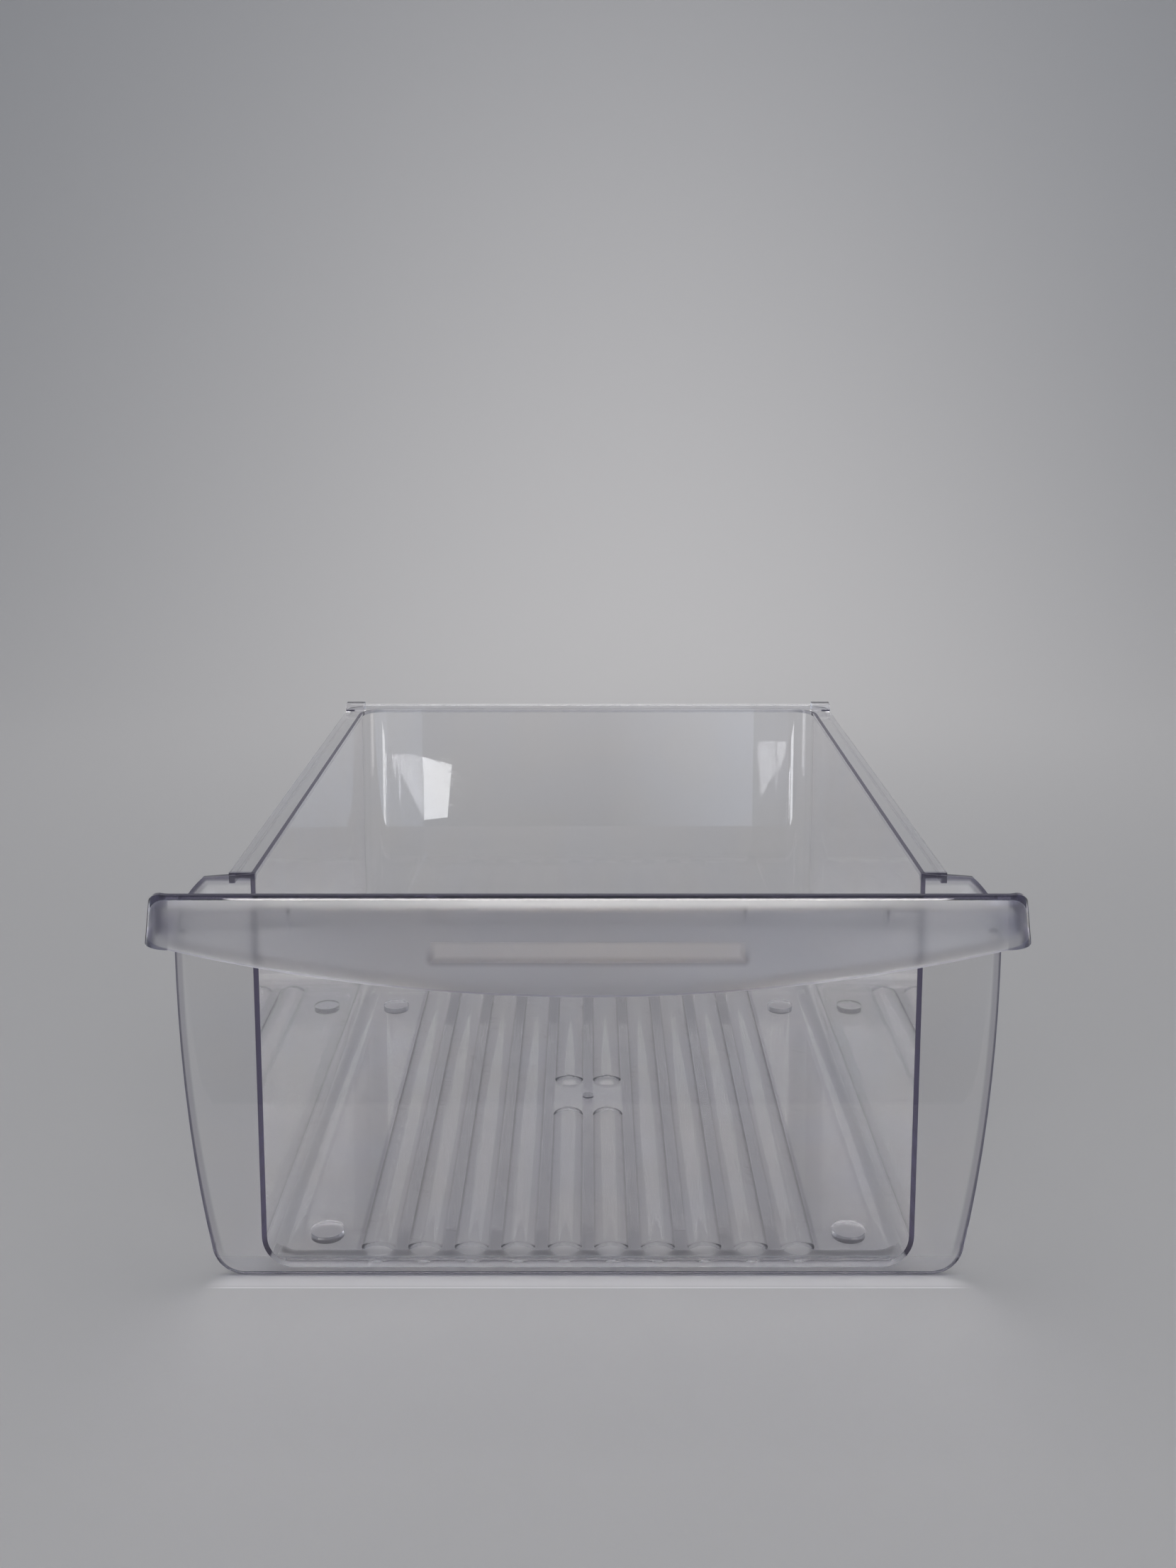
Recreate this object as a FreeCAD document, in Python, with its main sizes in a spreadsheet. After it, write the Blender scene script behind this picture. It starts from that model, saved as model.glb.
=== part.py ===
"""Fridge crisper drawer: one clear moulded pan with a wide front panel, side rails and a frosted pull.

Millimetres. +Z is up, the front faces -Y, and the origin lies under the middle of the pan, on the table.
"""
import FreeCAD, Part
import math
import os
import re
import Sketcher

# Driving dimensions
SIZES = {
    # tub: panel face to rear rim edge, rail top above the table, and the clear width at the floor
    "pan_depth": 357.0,
    "rim_height": 183.5,
    "inner_width": 284.0,
    "wall": 2.3,
    "tub_draft": 0.3,
    "rear_corner": 13.0,
    "floor_round": 12.0,
    "cove_round": 3.0,
    # round feet under the floor, and the gate mark in its middle
    "foot_height": 3.1,
    "foot_diameter": 15.4,
    "foot_spread": 240.6,
    "foot_front": 32.0,
    "foot_rear": 296.5,
    "gate_distance": 167.1,
    "gate_diameter": 6.0,
    "gate_rise": 0.5,
    # crowned flutes that lift food off the floor
    "flute_count": 10,
    "flute_pitch": 21.0,
    "flute_width": 15.6,
    "flute_rise": 2.6,
    "flute_front": 8.6,
    "flute_break": 27.0,
    # side rails, rear rim and the stops at the rails' rear ends
    "rail_reach": 11.5,
    "rail_wall": 2.4,
    "rail_lip": 4.6,
    "rail_lip_wall": 2.6,
    "rear_rim": 14.0,
    "rim_corner": 12.0,
    "stop_length": 8.0,
    "stop_height": 4.6,
    # front panel: bowed sides, swept-back edges and rounded shoulders, its foot just clear of the table
    "panel_width": 359.8,
    "panel_gap": 0.8,
    "panel_wall": 2.6,
    "sweep_across": 15.9,
    "panel_sweep": 25.0,
    "panel_bow": 680.0,
    "widest_drop": 33.5,
    "panel_corner": 14.0,
    "shoulder_round": 42.0,
    "shoulder_drop": 1.8,
    # pull: a skirt that hangs from a sheet rolled forward off the panel, its lip just below the rim
    "pull_width": 374.0,
    "pull_reach": 27.0,
    "lip_drop": 2.0,
    "skirt_height": 42.3,
    "pull_wall": 2.4,
    "pull_corner": 10.0,
    "skirt_draft": 6.0,
    "smile_radius": 790.0,
    "smile_rise": 19.5,
    "mouth_drop": 20.5,
    "lip_depth": 2.0,
    "end_round": 9.0,
    "end_clear": 0.2,
    # finger bar on the pull's face and the gussets behind it, both set up from the skirt's lowest edge
    "bar_length": 131.0,
    "bar_rise": 14.8,
    "bar_height": 8.0,
    "bar_relief": 1.5,
    "bar_top_relief": 0.2,
    "rib_wall": 1.0,
    "rib_rise": 25.0,
    "rib_back": 6.0,
    "rib_outer": 250.0,
    "cut_margin": 4.0,
}

# Sizes worked out from the driving ones
WORKED_OUT = {
    "middle": "0",
    "panel_y": "pull_reach - (pull_reach + pan_depth) / 2",
    "panel_middle": "panel_y + panel_wall / 2",
    "inner_front": "panel_y + panel_wall",
    "rear_edge": "panel_y + pan_depth",
    "floor_top": "foot_height + wall",
    # tub walls at the floor and at the rim
    "rim_rise": "rim_height - foot_height",
    "rim_lean": "rim_rise * tan(tub_draft * 1 deg)",
    "half_inner": "inner_width / 2",
    "half_outer": "half_inner + wall",
    "half_inner_rim": "half_inner + rim_lean",
    "rear_inner_rim": "rear_edge - rear_rim",
    "rear_outer": "rear_inner_rim + wall - rim_lean",
    "rear_corner_outer": "rear_corner + wall",
    "base_round": "floor_round + wall",
    "cove_rear": "inner_front + cove_round",
    "cove_top": "floor_top + cove_round",
    "cove_foot": "floor_top - wall / 2",
    "cove_length": "inner_width - floor_round * 4 / 3",
    # rim
    "rail_half": "half_inner_rim + rail_reach",
    "rail_seat": "half_inner_rim + wall / 2",
    "rim_seat": "rear_inner_rim + wall / 2",
    "rim_seat_corner": "rear_corner + wall / 2",
    "lip_inner_half": "rail_half - rail_lip_wall",
    "lip_inner_rear": "rear_edge - rail_lip_wall",
    "lip_inner_corner": "rim_corner - rail_lip_wall",
    "stop_front": "rear_inner_rim - stop_length",
    "stop_bottom": "rim_height - rail_wall / 2",
    "stop_rise": "stop_height + rail_wall / 2",
    # panel outline: a small corner arc inside the large side arc, and the shoulder arc above it
    "half_panel": "panel_width / 2",
    "panel_widest": "rim_height - widest_drop",
    "bow_centre": "half_panel - panel_bow",
    "corner_z": "panel_gap + panel_corner",
    "corner_x": "bow_centre + sqrt((panel_bow - panel_corner)^2 - (panel_widest - corner_z)^2)",
    "bow_share": "panel_bow / (panel_bow - panel_corner)",
    "bow_low_x": "bow_centre + (corner_x - bow_centre) * bow_share",
    "bow_low_z": "panel_widest + (corner_z - panel_widest) * bow_share",
    "shoulder_z": "rim_height - shoulder_drop",
    "shoulder_x": "half_panel - shoulder_round + sqrt(shoulder_round^2 - (shoulder_z - panel_widest)^2)",
    # panel edges swept back
    "half_flat": "half_panel - sweep_across",
    "back_sweep": "panel_sweep - panel_wall",
    "front_end": "panel_y + panel_sweep - sqrt(panel_sweep^2 - sweep_across^2)",
    "back_end": "panel_y + panel_sweep - sqrt(back_sweep^2 - sweep_across^2)",
    "panel_block": "back_end - panel_y",
    # pull: the skirt's outline at its foot and at its lip
    "pull_top": "rim_height - lip_drop",
    "pull_low": "pull_top - skirt_height",
    "skirt_foot": "pull_low - cut_margin",
    "pull_half": "pull_width / 2",
    "skirt_lean": "tan(skirt_draft * 1 deg)",
    "lip_front": "panel_y - pull_reach + skirt_height * skirt_lean",
    "smile_top": "pull_low + smile_rise",
    "lip_half": "pull_half - (pull_top - smile_top) * skirt_lean",
    "skirt_drop": "skirt_height + cut_margin",
    "half_pull_wall": "pull_wall / 2",
    "pull_foremost": "panel_y - pull_reach - cut_margin",
    "pull_outmost": "pull_half + cut_margin",
    "end_round_z": "pull_top - end_round + end_clear",
    "end_round_x": "pull_half - (end_round_z - smile_top) * skirt_lean - end_round + end_clear",
    "end_round_top": "pull_top + end_clear",
    "end_slope_front": "lip_front + pull_corner / 2",
    "smile_x": "sqrt(smile_radius^2 - (smile_radius - smile_rise)^2)",
    # pull: the sheet that rolls forward off the panel to the lip
    "roll_height": "rim_height - mouth_drop",
    "sheet_front": "lip_front + pull_wall / 2",
    "sheet_top": "pull_top - lip_depth",
    "sheet_slope": "(sheet_top - roll_height) / (panel_y - sheet_front)",
    "sheet_drop": "pull_wall * sqrt(1 + sheet_slope^2)",
    "sheet_half": "lip_half - pull_wall / 2",
    "sheet_corner": "pull_corner - pull_wall / 2",
    "behind_sheet": "panel_middle + cut_margin",
    # finger bar and gussets, set on the leaning face
    "bar_low": "pull_low + bar_rise",
    "bar_high": "bar_low + bar_height",
    "bar_low_face": "lip_front - skirt_lean * (pull_top - bar_low)",
    "bar_high_face": "lip_front - skirt_lean * (pull_top - bar_high)",
    "bar_half": "bar_length / 2",
    "rib_outer_half": "rib_outer / 2",
    "rib_low": "pull_low + rib_rise",
    "rib_face": "lip_front - skirt_lean * (pull_top - rib_low) + pull_wall / 2",
    "rib_rear": "panel_y - rib_back",
    "rib_rear_z": "roll_height - sheet_drop / 2 + sheet_slope * rib_back",
    "rib_top_z": "sheet_top - sheet_drop / 2",
    # flutes: crowns above the floor and matching grooves below it, a floor's thickness apart
    "flute_half": "flute_width / 2",
    "crown_radius": "(flute_half^2 + flute_rise^2) / (2 * flute_rise)",
    "crown_top": "floor_top + flute_rise",
    "crown_foot": "floor_top - wall / 4",
    "groove_radius": "crown_radius - wall",
    "groove_half": "sqrt(groove_radius^2 - (groove_radius - flute_rise)^2)",
    "groove_top": "foot_height + flute_rise",
    "groove_foot": "0 - cut_margin",
    "gate_y": "panel_y + gate_distance",
    "flute_start": "panel_y + flute_front + flute_half",
    "flute_run": "2 * (gate_y - flute_start)",
    "short_run": "flute_run / 2 - flute_break / 2 - flute_half",
    "short_shift": "short_run + flute_width + flute_break",
    "side_flutes": "flute_count / 2 - 1",
    "inner_flute": "flute_pitch / 2",
    "outer_flute": "inner_flute + side_flutes * flute_pitch",
    "group_shift": "(side_flutes + 2) * flute_pitch",
    "pair": "2",
    # feet
    "foot_half_spread": "foot_spread / 2",
    "foot_front_y": "panel_y + foot_front",
    "foot_rear_y": "panel_y + foot_rear",
    "foot_rise": "foot_height + wall / 2",
    "gate_foot": "floor_top - wall / 4",
    "gate_pad": "gate_rise + wall / 4",
}

doc = FreeCAD.newDocument("crisper_drawer")
sheet = doc.addObject("Spreadsheet::Sheet", "Sheet")


def fill_sheet():
    """Writes each driving dimension and each worked-out size in a row of its own, under its name."""
    row = 0
    for name, value in SIZES.items():
        row += 1
        sheet.set(f"A{row}", name)
        sheet.set(f"B{row}", str(value))
        sheet.setAlias(f"B{row}", name)
    for name, rule in WORKED_OUT.items():
        row += 1
        sheet.set(f"A{row}", name)
        sheet.set(f"B{row}", f"={rule}")
        sheet.setAlias(f"B{row}", name)
    doc.recompute()


def number(text):
    """Value of a sum of named sizes, such as "panel_y + panel_wall"."""
    terms = re.findall(r"([+-]?)\s*([a-z]\w*)", text)
    return sum((-1 if sign == "-" else 1) * sheet.get(name) for sign, name in terms)


def formula(text):
    """The same sum as an expression on the sheet."""
    return re.sub(r"([a-z]\w*)", r"Sheet.\1", text)


def new_body(name):
    body = doc.addObject("PartDesign::Body", name)
    body.Label = name
    return body


def new_sketch(body, name, role, level):
    """Sketch on one of the body's own planes, moved along the plane's normal by the size level."""
    sketch = body.newObject("Sketcher::SketchObject", name)
    plane = next(part for part in body.Origin.OriginFeatures if part.Role == role)
    sketch.AttachmentSupport = [(plane, "")]
    sketch.MapMode = "FlatFace"
    if level:
        sketch.setExpression(".AttachmentOffset.Base.z", formula(level))
    return sketch


def pin(sketch, geometry, point, across, up):
    """Holds a point of the sketch at two named distances from the origin."""
    for kind, place in (("DistanceX", across), ("DistanceY", up)):
        index = sketch.addConstraint(Sketcher.Constraint(kind, -1, 1, geometry, point, number(place)))
        sketch.setExpression(f"Constraints[{index}]", formula(place))


def add_path(sketch, stops):
    """Closed run of lines and arcs through named stops.

    A stop is (across, up) at the end of a line, or (across, up, radius) at the end of an arc. An arc turns
    left, or right where its radius has a minus sign.
    """
    count = len(stops)
    places = [FreeCAD.Vector(number(stop[0]), number(stop[1]), 0) for stop in stops]
    ends = []
    for index, stop in enumerate(stops):
        start = places[index - 1]
        end = places[index]
        if len(stop) == 2:
            geometry = sketch.addGeometry(Part.LineSegment(start, end), False)
            ends.append((geometry, 1, 2))
            continue
        left = not stop[2].startswith("-")
        size = stop[2].lstrip("-")
        chord = end - start
        rise = math.sqrt(max(number(size) ** 2 - chord.Length ** 2 / 4, 0))
        side = FreeCAD.Vector(-chord.y, chord.x, 0).normalize() * (rise if left else -rise)
        centre = (start + end) / 2 + side
        first, last = (start, end) if left else (end, start)
        first_angle = math.atan2(first.y - centre.y, first.x - centre.x)
        last_angle = math.atan2(last.y - centre.y, last.x - centre.x)
        circle = Part.Circle(centre, FreeCAD.Vector(0, 0, 1), number(size))
        geometry = sketch.addGeometry(Part.ArcOfCircle(circle, first_angle, last_angle), False)
        radius = sketch.addConstraint(Sketcher.Constraint("Radius", geometry, number(size)))
        sketch.setExpression(f"Constraints[{radius}]", formula(size))
        ends.append((geometry, 1, 2) if left else (geometry, 2, 1))
    for index in range(count):
        geometry, tail, head = ends[index]
        following, next_tail, next_head = ends[(index + 1) % count]
        sketch.addConstraint(Sketcher.Constraint("Coincident", geometry, head, following, next_tail))
        pin(sketch, geometry, head, stops[index][0], stops[index][1])


def outline(body, name, role, paths, level=None):
    """Sketch that holds one or more closed paths."""
    sketch = new_sketch(body, name, role, level)
    for stops in paths:
        add_path(sketch, stops)
    doc.recompute()
    return sketch


def discs(body, name, centres, diameter, level=None):
    """Level sketch with a circle of one diameter at each named centre."""
    sketch = new_sketch(body, name, "XY_Plane", level)
    for across, up in centres:
        centre = FreeCAD.Vector(number(across), number(up), 0)
        circle = Part.Circle(centre, FreeCAD.Vector(0, 0, 1), number(diameter) / 2)
        geometry = sketch.addGeometry(circle, False)
        pin(sketch, geometry, 3, across, up)
        index = sketch.addConstraint(Sketcher.Constraint("Diameter", geometry, number(diameter)))
        sketch.setExpression(f"Constraints[{index}]", formula(diameter))
    doc.recompute()
    return sketch


def extrude(body, kind, name, sketch, length, back=False, both_ways=False):
    """Pad or Pocket of a sketch by a named length."""
    feature = body.newObject(f"PartDesign::{kind}", name)
    feature.Profile = sketch
    feature.setExpression("Length", formula(length))
    feature.Reversed = back
    feature.SideType = "Symmetric" if both_ways else "One side"
    doc.recompute()
    return feature


def cut_through(body, name, sketch):
    """Pocket that goes right through the body, both ways from its sketch."""
    before = body.Shape.Volume
    feature = body.newObject("PartDesign::Pocket", name)
    feature.Profile = sketch
    feature.Type = "ThroughAll"
    feature.SideType = "Symmetric"
    doc.recompute()
    if body.Shape.Volume >= before:
        raise RuntimeError(f"{name} cuts nothing")
    return feature


def face_names(feature, chosen):
    """Names of the faces of a feature for which chosen(face) holds."""
    return [f"Face{index}" for index, face in enumerate(feature.Shape.Faces, 1) if chosen(face)]


def lean_faces(body, name, base, angle, neutral_height, upwards, chosen):
    """Draft that widens a feature upwards or downwards from a level face, on its chosen upright faces."""
    leaning = face_names(base, lambda face: upright(face) and chosen(face))
    neutral = face_names(base, lambda face: lies_level(face, neutral_height))
    feature = body.newObject("PartDesign::Draft", name)
    feature.Base = (base, leaning)
    feature.NeutralPlane = (base, neutral)
    feature.setExpression("Angle", formula(angle))
    feature.Reversed = upwards
    doc.recompute()
    return feature


def shell(body, name, base, thickness, opened):
    """Hollows a feature to a wall of one thickness, open at the faces for which opened(face) holds."""
    feature = body.newObject("PartDesign::Thickness", name)
    feature.Base = (base, face_names(base, opened))
    feature.setExpression("Value", formula(thickness))
    feature.Reversed = True
    feature.Join = "Intersection"
    doc.recompute()
    return feature


def round_edges(body, name, base, radius, chosen):
    """Fillet on the edges of a feature for which chosen(edge) holds."""
    edges = [f"Edge{index}" for index, edge in enumerate(base.Shape.Edges, 1) if chosen(edge)]
    feature = body.newObject("PartDesign::Fillet", name)
    feature.Base = (base, edges)
    feature.setExpression("Radius", formula(radius))
    doc.recompute()
    return feature


def lies_level(shape, height):
    """True for a face or edge that lies in the plane at the named height."""
    box = shape.BoundBox
    return abs(box.ZMin - number(height)) < 0.01 and abs(box.ZMax - number(height)) < 0.01


def lies_across(shape, place):
    """True for a face or edge that lies in the upright plane across the pan at the named place."""
    box = shape.BoundBox
    return abs(box.YMin - number(place)) < 0.01 and abs(box.YMax - number(place)) < 0.01


def upright(face):
    """True for a face that has some height."""
    return face.BoundBox.ZLength > 1


def make_tub():
    """Thin-walled tub, open at the top, with a cove at the panel, feet below and a gate mark in its floor."""
    body = new_body("tub")
    plan = outline(body, "TubPlan", "XY_Plane", [[
        ("-half_outer", "panel_middle"),
        ("half_outer", "panel_middle"),
        ("half_outer", "rear_outer - rear_corner_outer"),
        ("half_outer - rear_corner_outer", "rear_outer", "rear_corner_outer"),
        ("-half_outer + rear_corner_outer", "rear_outer"),
        ("-half_outer", "rear_outer - rear_corner_outer", "rear_corner_outer"),
    ]], "foot_height")
    block = extrude(body, "Pad", "TubBlock", plan, "rim_rise")
    block = lean_faces(body, "TubDraft", block, "tub_draft", "foot_height", True,
                       lambda face: not lies_across(face, "panel_middle"))
    block = round_edges(body, "TubBaseRound", block, "base_round",
                        lambda edge: lies_level(edge, "foot_height")
                        and not lies_across(edge, "panel_middle"))
    shell(body, "TubShell", block, "wall",
          lambda face: lies_level(face, "rim_height") or lies_across(face, "panel_middle"))
    cove = outline(body, "CoveSide", "YZ_Plane", [[
        ("inner_front", "cove_foot"),
        ("cove_rear", "cove_foot"),
        ("cove_rear", "floor_top"),
        ("inner_front", "cove_top", "-cove_round"),
    ]])
    extrude(body, "Pad", "Cove", cove, "cove_length", both_ways=True)
    ends = ("foot_front_y", "foot_rear_y")
    places = [(f"{side}foot_half_spread", end) for side in ("-", "") for end in ends]
    extrude(body, "Pad", "Feet", discs(body, "FeetPlan", places, "foot_diameter"), "foot_rise")
    gate = discs(body, "GatePlan", [("middle", "gate_y")], "gate_diameter", "gate_foot")
    extrude(body, "Pad", "Gate", gate, "gate_pad")
    return body


def make_panel():
    """Front panel: bowed outline, a mouth between the wings, and side edges swept back in plan."""
    body = new_body("front_panel")
    face = outline(body, "PanelFace", "XZ_Plane", [[
        ("corner_x", "panel_gap"),
        ("bow_low_x", "bow_low_z", "panel_corner"),
        ("half_panel", "panel_widest", "panel_bow"),
        ("shoulder_x", "shoulder_z", "shoulder_round"),
        ("half_inner_rim", "rim_height"),
        ("half_inner_rim", "roll_height"),
        ("-half_inner_rim", "roll_height"),
        ("-half_inner_rim", "rim_height"),
        ("-shoulder_x", "shoulder_z"),
        ("-half_panel", "panel_widest", "shoulder_round"),
        ("-bow_low_x", "bow_low_z", "panel_bow"),
        ("-corner_x", "panel_gap", "panel_corner"),
    ]], "-panel_y")
    extrude(body, "Pad", "PanelBlock", face, "panel_block", back=True)
    behind = outline(body, "PanelBack", "XY_Plane", [[
        ("half_flat", "inner_front"),
        ("half_panel", "back_end", "back_sweep"),
        ("half_panel", "back_end + cut_margin"),
        ("-half_panel", "back_end + cut_margin"),
        ("-half_panel", "back_end"),
        ("-half_flat", "inner_front", "back_sweep"),
    ]])
    cut_through(body, "PanelHollow", behind)
    corners = outline(body, "PanelCorners", "XY_Plane", [[
        ("half_flat", "panel_y - cut_margin"),
        ("half_panel + cut_margin", "panel_y - cut_margin"),
        ("half_panel + cut_margin", "front_end"),
        ("half_panel", "front_end"),
        ("half_flat", "panel_y", "-panel_sweep"),
    ], [
        ("-half_flat", "panel_y"),
        ("-half_panel", "front_end", "-panel_sweep"),
        ("-half_panel - cut_margin", "front_end"),
        ("-half_panel - cut_margin", "panel_y - cut_margin"),
        ("-half_flat", "panel_y - cut_margin"),
    ]])
    cut_through(body, "PanelSweep", corners)
    return body


def rim_outline(body, name, half, rear, corner):
    """U-shaped plan of the rails and rear rim, between their outer edge and an inner line."""
    return outline(body, name, "XY_Plane", [[
        ("-rail_half", "panel_middle"),
        (f"-{half}", "panel_middle"),
        (f"-{half}", f"{rear} - {corner}"),
        (f"-{half} + {corner}", rear, f"-{corner}"),
        (f"{half} - {corner}", rear),
        (half, f"{rear} - {corner}", f"-{corner}"),
        (half, "panel_middle"),
        ("rail_half", "panel_middle"),
        ("rail_half", "rear_edge - rim_corner"),
        ("rail_half - rim_corner", "rear_edge", "rim_corner"),
        ("-rail_half + rim_corner", "rear_edge"),
        ("-rail_half", "rear_edge - rim_corner", "rim_corner"),
    ]], "rim_height")


def make_rim():
    """Flat rails and rear rim with a turned-down lip, and a stop on the rear end of each rail."""
    body = new_body("rim")
    plate = rim_outline(body, "RimPlate", "rail_seat", "rim_seat", "rim_seat_corner")
    extrude(body, "Pad", "Rim", plate, "rail_wall", back=True)
    lip = rim_outline(body, "RimLipPlan", "lip_inner_half", "lip_inner_rear", "lip_inner_corner")
    extrude(body, "Pad", "RimLip", lip, "rail_lip", back=True)
    stops = outline(body, "StopPlan", "XY_Plane", [[
        (f"{side}{near}", "stop_front"),
        (f"{side}{far}", "stop_front"),
        (f"{side}{far}", "rear_inner_rim"),
        (f"{side}{near}", "rear_inner_rim"),
    ] for side, near, far in (("", "half_inner_rim", "rail_half"), ("-", "rail_half", "half_inner_rim"))],
        "stop_bottom")
    extrude(body, "Pad", "Stops", stops, "stop_rise")
    return body


def skirt_block(body, half, front, corner):
    """Solid block that widens downwards from the lip, with two upright corners rounded at the front."""
    plan = outline(body, "SkirtPlan", "XY_Plane", [[
        (f"-{half}", "panel_middle"),
        (f"-{half}", f"{front} + {corner}"),
        (f"-{half} + {corner}", front, corner),
        (f"{half} - {corner}", front),
        (half, f"{front} + {corner}", corner),
        (half, "panel_middle"),
    ]], "pull_top")
    block = extrude(body, "Pad", "SkirtBlock", plan, "skirt_drop", back=True)
    return lean_faces(body, "SkirtDraft", block, "skirt_draft", "pull_top", False,
                      lambda face: not lies_across(face, "panel_middle"))


def round_ends(body):
    """Rounds the two upper ends of the pull, seen from the front, and slopes their tops down to the panel."""
    corners = outline(body, "UpperEnds", "XZ_Plane", [[
        ("end_round_x", "end_round_top"),
        ("end_round_x + end_round", "end_round_z", "-end_round"),
        ("pull_outmost", "end_round_z"),
        ("pull_outmost", "pull_top + cut_margin"),
        ("end_round_x", "pull_top + cut_margin"),
    ], [
        ("-end_round_x", "pull_top + cut_margin"),
        ("-pull_outmost", "pull_top + cut_margin"),
        ("-pull_outmost", "end_round_z"),
        ("-end_round_x - end_round", "end_round_z"),
        ("-end_round_x", "end_round_top", "-end_round"),
    ]])
    cut_through(body, "UpperEndRounds", corners)
    slope = outline(body, "EndSlope", "YZ_Plane", [[
        ("end_slope_front", "pull_top"),
        ("behind_sheet", "roll_height"),
        ("behind_sheet", "pull_top + cut_margin"),
        ("end_slope_front", "pull_top + cut_margin"),
    ]])
    cut_through(body, "EndSlopes", slope)


def make_sheet():
    """Sheet that rolls forward off the panel, up to the inside of the skirt's lip."""
    body = new_body("rolled_sheet")
    skirt_block(body, "sheet_half", "sheet_front", "sheet_corner")
    spare = outline(body, "SheetSpare", "YZ_Plane", [[
        ("panel_y", "roll_height"),
        ("behind_sheet", "roll_height"),
        ("behind_sheet", "pull_top + cut_margin"),
        ("pull_foremost", "pull_top + cut_margin"),
        ("pull_foremost", "sheet_top"),
        ("sheet_front", "sheet_top"),
    ], [
        ("panel_y", "roll_height - sheet_drop"),
        ("sheet_front", "sheet_top - sheet_drop"),
        ("pull_foremost", "sheet_top - sheet_drop"),
        ("pull_foremost", "skirt_foot - cut_margin"),
        ("behind_sheet", "skirt_foot - cut_margin"),
        ("behind_sheet", "roll_height - sheet_drop"),
    ]])
    cut_through(body, "RolledSheet", spare)
    return body


def make_pull():
    """Pull: a leaning skirt with a smile-shaped lower edge, a finger bar on its face and gussets behind."""
    body = new_body("pull")
    block = skirt_block(body, "lip_half", "lip_front", "pull_corner")
    shell(body, "SkirtShell", block, "pull_wall",
          lambda face: lies_across(face, "panel_middle") or not upright(face))
    smile = outline(body, "SmileEdge", "XZ_Plane", [[
        ("-pull_outmost", "skirt_foot - cut_margin"),
        ("pull_outmost", "skirt_foot - cut_margin"),
        ("pull_outmost", "smile_top"),
        ("smile_x", "smile_top"),
        ("-smile_x", "smile_top", "-smile_radius"),
        ("-pull_outmost", "smile_top"),
    ]])
    cut_through(body, "Smile", smile)
    round_ends(body)
    bar = outline(body, "BarSide", "YZ_Plane", [[
        ("bar_low_face - bar_relief", "bar_low"),
        ("bar_low_face + half_pull_wall", "bar_low"),
        ("bar_high_face + half_pull_wall", "bar_high"),
        ("bar_high_face - bar_top_relief", "bar_high"),
    ]])
    extrude(body, "Pad", "FingerBar", bar, "bar_length", both_ways=True)
    for place in ("-rib_outer_half", "-bar_half", "bar_half", "rib_outer_half"):
        gusset = outline(body, "GussetSide", "YZ_Plane", [[
            ("rib_face", "rib_low"),
            ("rib_rear", "rib_rear_z"),
            ("sheet_front", "rib_top_z"),
        ]], place)
        extrude(body, "Pad", "Gusset", gusset, "rib_wall", both_ways=True)
    return body


def half_dome(body, name, middle, half, base, top, foot, radius, level, back):
    """Rounded end of a flute: half a turn of half its section about its own middle."""
    section = outline(body, f"{name}Section", "XZ_Plane", [[
        (middle, foot),
        (f"{middle} + {half}", foot),
        (f"{middle} + {half}", base),
        (middle, top, radius),
    ]], level)
    feature = body.newObject("PartDesign::Revolution", name)
    feature.Profile = section
    feature.ReferenceAxis = (section, ["Edge1"])
    feature.Angle = 180
    feature.Reversed = back
    doc.recompute()
    return feature


def one_flute(body, name, middle, run, half, base, top, foot, radius):
    """Straight crowned flute with two rounded ends."""
    section = outline(body, f"{name}Section", "XZ_Plane", [[
        (f"{middle} - {half}", foot),
        (f"{middle} + {half}", foot),
        (f"{middle} + {half}", base),
        (f"{middle} - {half}", base, radius),
    ]], "-flute_start")
    straight = extrude(body, "Pad", name, section, run, back=True)
    front = half_dome(body, f"{name}Front", middle, half, base, top, foot, radius, "-flute_start", False)
    finish = f"-flute_start - {run}"
    rear = half_dome(body, f"{name}Rear", middle, half, base, top, foot, radius, finish, True)
    return [straight, front, rear]


def repeat(body, name, originals, steps):
    """Copies features along the body's axes: each step is (axis, count, spacing)."""
    feature = body.newObject("PartDesign::MultiTransform", name)
    feature.Originals = originals
    moves = []
    for role, count, spacing in steps:
        move = body.newObject("PartDesign::LinearPattern", f"{name}Step")
        axis = next(part for part in body.Origin.OriginFeatures if part.Role == role)
        move.Direction = (axis, [""])
        move.Mode = "Spacing"
        move.setExpression("Offset", formula(spacing))
        move.setExpression("Occurrences", formula(count))
        moves.append(move)
    feature.Transformations = moves
    body.Tip = feature
    doc.recompute()
    return feature


def make_flutes(name, half, base, top, foot, radius):
    """Field of ten flutes: four long ones each side, and two in the middle that break round the gate."""
    body = new_body(name)
    body.AllowCompound = True
    long_one = one_flute(body, "Long", "-outer_flute", "flute_run", half, base, top, foot, radius)
    repeat(body, "LongFlutes", long_one,
           [("X_Axis", "side_flutes", "flute_pitch"), ("X_Axis", "pair", "group_shift")])
    short_one = one_flute(body, "Short", "-inner_flute", "short_run", half, base, top, foot, radius)
    repeat(body, "ShortFlutes", short_one,
           [("X_Axis", "pair", "flute_pitch"), ("Y_Axis", "pair", "short_shift")])
    return body


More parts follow.
